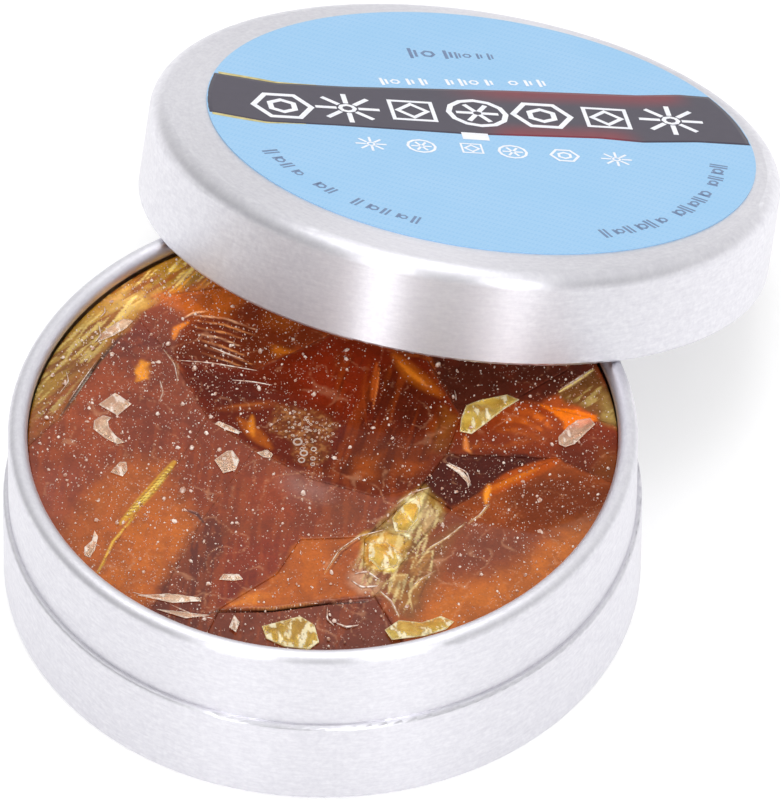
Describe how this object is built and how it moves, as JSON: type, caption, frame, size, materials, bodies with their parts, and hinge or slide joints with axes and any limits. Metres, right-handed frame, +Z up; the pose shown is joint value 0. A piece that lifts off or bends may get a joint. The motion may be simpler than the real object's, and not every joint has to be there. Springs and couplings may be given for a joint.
{
  "type": "rosin tin",
  "caption": "Round slip-lid aluminium tin filled with a cracked amber cake of cast rosin, open, with its labelled lid leaning on the back of the rim.",
  "frame": {"origin": "centre of the tin's flat base, on the table", "axes": "+Z up out of the tin's mouth, +Y towards the side where the lid leans and stands on the table, +X to the right"},
  "size_m": [0.0524, 0.0838, 0.0271],
  "materials": {
    "sheet_aluminium": "satin",
    "label_paper": "satin",
    "rosin_dark": "gloss",
    "rosin_brown": "gloss",
    "rosin_orange": "gloss",
    "rosin_olive": "gloss",
    "rosin_chip": "gloss"
  },
  "bodies": {
    "tin": {"tin_cup": "sheet_aluminium", "rosin_left_rim": "rosin_olive", "rosin_back_left": "rosin_brown", "rosin_centre": "rosin_dark", "rosin_back": "rosin_dark", "rosin_back_right": "rosin_olive", "rosin_right": "rosin_brown", "rosin_dark_wedge": "rosin_dark", "rosin_right_front": "rosin_orange", "rosin_crush_wedge": "rosin_olive", "rosin_left": "rosin_brown", "rosin_front_left": "rosin_orange", "rosin_front": "rosin_brown", "rosin_front_orange": "rosin_orange", "rosin_front_edge": "rosin_brown", "chip_crescent": "rosin_chip", "chip_diamond": "rosin_chip", "chip_slab": "rosin_chip", "chip_green_wedge": "rosin_olive", "chip_pebble": "rosin_chip", "chip_yellow_lump": "rosin_olive", "chip_flat_green": "rosin_olive", "chip_left_crumb": "rosin_chip", "chip_centre_lump": "rosin_chip", "chip_splinter": "rosin_chip", "chip_small_flake": "rosin_chip", "chip_clear_front": "rosin_chip", "chip_flat_front": "rosin_chip", "chip_front_splinters": "rosin_chip", "chip_upper_shard": "rosin_chip", "chip_lower_shard": "rosin_chip", "chip_curved_sliver": "rosin_chip", "rosin_crumbs": "rosin_chip"},
    "lid": {"lid_shell": "sheet_aluminium", "lid_label": "label_paper"}
  },
  "joints": [
    {"name": "lid_lift", "type": "slide", "parent": "tin", "child": "lid", "axis": [0, 0, 1], "range_m": [0, 0.03]}
  ]
}
